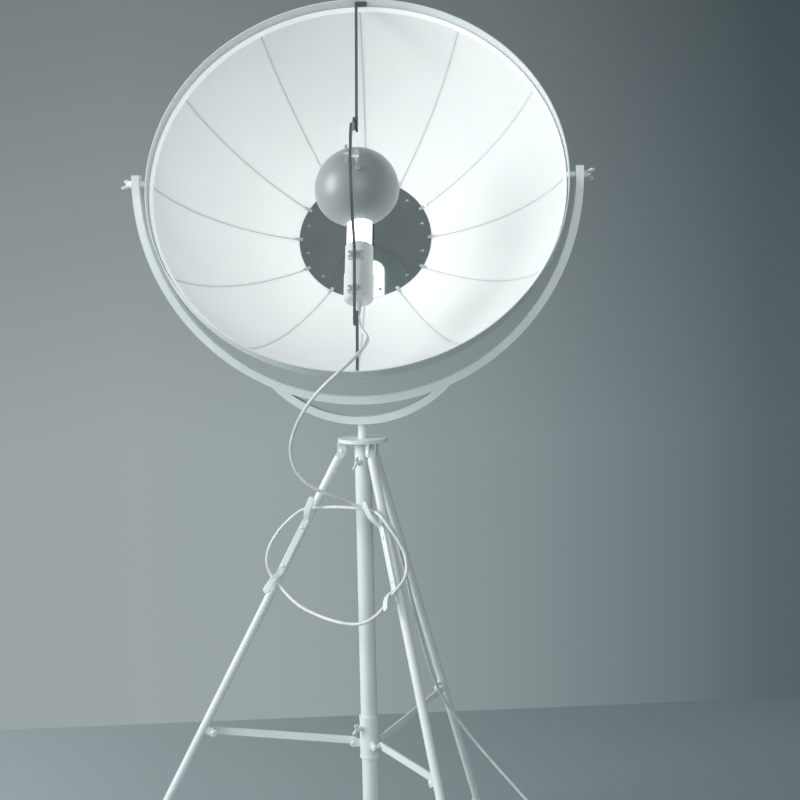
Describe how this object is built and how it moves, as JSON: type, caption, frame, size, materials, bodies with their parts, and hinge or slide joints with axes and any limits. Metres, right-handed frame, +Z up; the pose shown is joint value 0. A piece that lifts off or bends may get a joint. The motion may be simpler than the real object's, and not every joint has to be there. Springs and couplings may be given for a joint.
{
  "type": "floor lamp",
  "caption": "Floor lamp with a round fabric dish shade in a tilting half-round yoke, on a telescopic stem and a folding tripod with braced legs.",
  "frame": {"origin": "on the floor, centred under the lamp's box (without the cord)", "axes": "+Z up; the shade tilts about X and opens towards -Y; X along the yoke's pivots"},
  "size_m": [1.0501, 1.011, 1.8762],
  "materials": {
    "white_enamel": "satin white powder coat",
    "steel": "bright zinc-plated steel",
    "cap_enamel": "satin white enamel",
    "black_plastic": "moulded plastic end plug",
    "grey_plastic": "moulded nylon",
    "porcelain": "glazed porcelain",
    "white_rubber": "matt white rubber",
    "glass": "opal lamp glass",
    "brass": "bright screw cap",
    "shade_fabric": "plain woven white polyester cloth",
    "mirror": "polished sheet",
    "white_cord": "white PVC sheath",
    "white_plug": "moulded white plug"
  },
  "bodies": {
    "post": {"head_plate": "white_enamel", "leg_clevises": "white_enamel", "leg_hinge_pins": "white_enamel", "pole_tube": "white_enamel", "pole_end_plug": "black_plastic", "stem_bush": "grey_plastic", "cord_drop": "white_cord", "cord_loop": "white_cord", "cord_run": "white_cord", "cord_coil": "white_cord", "plug": "white_plug"},
    "pole_screw": {"pole_thumbscrew": "white_enamel"},
    "leg_left": {"leg_tube_left": "white_enamel", "leg_fittings_left": "white_enamel", "foot_left": "white_rubber", "cleat_left": "white_enamel", "cleat_screws_left": "white_enamel"},
    "leg_front": {"leg_tube_front": "white_enamel", "leg_fittings_front": "white_enamel", "foot_front": "white_rubber", "cleat_front": "white_enamel", "cleat_screws_front": "white_enamel"},
    "leg_rear": {"leg_tube_rear": "white_enamel", "leg_fittings_rear": "white_enamel", "foot_rear": "white_rubber"},
    "sleeve": {"sleeve": "white_enamel", "sleeve_lugs": "white_enamel", "sleeve_strut_bolts": "white_enamel"},
    "sleeve_screw": {"sleeve_thumbscrew": "white_enamel"},
    "strut_left": {"strut_left": "white_enamel"},
    "strut_front": {"strut_front": "white_enamel"},
    "strut_rear": {"strut_rear": "white_enamel"},
    "carrier": {"stem_tube": "white_enamel", "stem_guide": "grey_plastic"},
    "yoke": {"yoke_arc": "white_enamel", "yoke_brace": "white_enamel"},
    "nut_left": {"wing_nut_left": "white_enamel"},
    "nut_right": {"wing_nut_right": "white_enamel"},
    "shade": {"rim_hoop": "white_enamel", "pivot_blocks": "white_enamel", "pivot_bolts": "white_enamel", "shade_cloth": "shade_fabric", "hub_mirror": "mirror", "hub_back_plate": "white_enamel", "hub_screws": "steel", "shade_ribs": "white_enamel", "bar_ends": "white_enamel", "bar_bow": "white_enamel", "bar_screws": "steel", "cap_clamp": "steel", "lampholder_body": "porcelain", "lampholder_base": "porcelain", "lampholder_brackets": "steel", "cord_gland": "white_rubber", "bulb_glass": "glass", "bulb_base": "brass", "bulb_burner": "porcelain"},
    "cap": {"cap_shield": "cap_enamel", "cap_rod": "steel"},
    "cap_nut": {"cap_wing_nut": "steel"}
  },
  "joints": [
    {"name": "leg_left_fold", "type": "hinge", "parent": "post", "child": "leg_left", "pos_m": [0.0022, 0, 0.954], "axis": [0, -1, 0], "range_deg": [0, 25], "deforming": ["cord_drop", "cord_loop", "cord_run"]},
    {"name": "leg_front_fold", "type": "hinge", "parent": "post", "child": "leg_front", "pos_m": [0.06223, -0.03825, 0.954], "axis": [0.9063, 0.4226, 0], "range_deg": [0, 25]},
    {"name": "leg_rear_fold", "type": "hinge", "parent": "post", "child": "leg_rear", "pos_m": [0.06223, 0.03825, 0.954], "axis": [-0.9063, 0.4226, 0], "range_deg": [0, 25]},
    {"name": "sleeve_slide", "type": "slide", "parent": "post", "child": "sleeve", "axis": [0, 0, 1], "range_m": [0, 0.249]},
    {"name": "strut_left_turn", "type": "hinge", "parent": "sleeve", "child": "strut_left", "pos_m": [0.0109, 0, 0.3473], "axis": [0, -1, 0], "range_deg": [0, 91.16]},
    {"name": "strut_front_turn", "type": "hinge", "parent": "sleeve", "child": "strut_front", "pos_m": [0.05856, -0.03036, 0.3473], "axis": [0.9063, 0.4226, 0], "range_deg": [0, 91.16]},
    {"name": "strut_rear_turn", "type": "hinge", "parent": "sleeve", "child": "strut_rear", "pos_m": [0.05856, 0.03036, 0.3473], "axis": [-0.9063, 0.4226, 0], "range_deg": [0, 91.16]},
    {"name": "pole_screw_turn", "type": "hinge", "parent": "post", "child": "pole_screw", "pos_m": [0.03658, -0.01841, 0.932], "axis": [-0.3907, -0.9205, 0], "continuous": true},
    {"name": "sleeve_screw_turn", "type": "hinge", "parent": "sleeve", "child": "sleeve_screw", "pos_m": [0.02954, -0.01338, 0.381], "axis": [-0.7431, -0.6691, 0], "continuous": true},
    {"name": "height_slide", "type": "slide", "parent": "post", "child": "carrier", "axis": [0, 0, 1], "range_m": [-0.024, 0.476]},
    {"name": "pan", "type": "hinge", "parent": "carrier", "child": "yoke", "pos_m": [0.0444, 0, 1], "axis": [0, 0, 1], "range_deg": [-180, 180]},
    {"name": "tilt", "type": "hinge", "parent": "yoke", "child": "shade", "pos_m": [0.0444, 0, 1.4963], "axis": [1, 0, 0], "range_deg": [-62, 117]},
    {"name": "nut_left_turn", "type": "hinge", "parent": "yoke", "child": "nut_left", "pos_m": [-0.4056, 0, 1.4963], "axis": [-1, 0, 0], "continuous": true},
    {"name": "nut_right_turn", "type": "hinge", "parent": "yoke", "child": "nut_right", "pos_m": [0.4944, 0, 1.4963], "axis": [1, 0, 0], "continuous": true},
    {"name": "cap_slide", "type": "slide", "parent": "shade", "child": "cap", "axis": [0, -0.887, 0.4617], "range_m": [0, 0.03]},
    {"name": "cap_nut_turn", "type": "hinge", "parent": "shade", "child": "cap_nut", "pos_m": [0.0344, -0.08693, 1.54155], "axis": [-1, 0, 0], "continuous": true}
  ],
  "couplings": [
    {"joint": "leg_front_fold", "follows": "leg_left_fold", "ratio": 1},
    {"joint": "leg_rear_fold", "follows": "leg_left_fold", "ratio": 1},
    {"joint": "sleeve_slide", "follows": "leg_left_fold", "m_per_rad": 0.5705},
    {"joint": "strut_left_turn", "follows": "leg_left_fold", "ratio": 3.6446},
    {"joint": "strut_front_turn", "follows": "leg_left_fold", "ratio": 3.6446},
    {"joint": "strut_rear_turn", "follows": "leg_left_fold", "ratio": 3.6446}
  ]
}
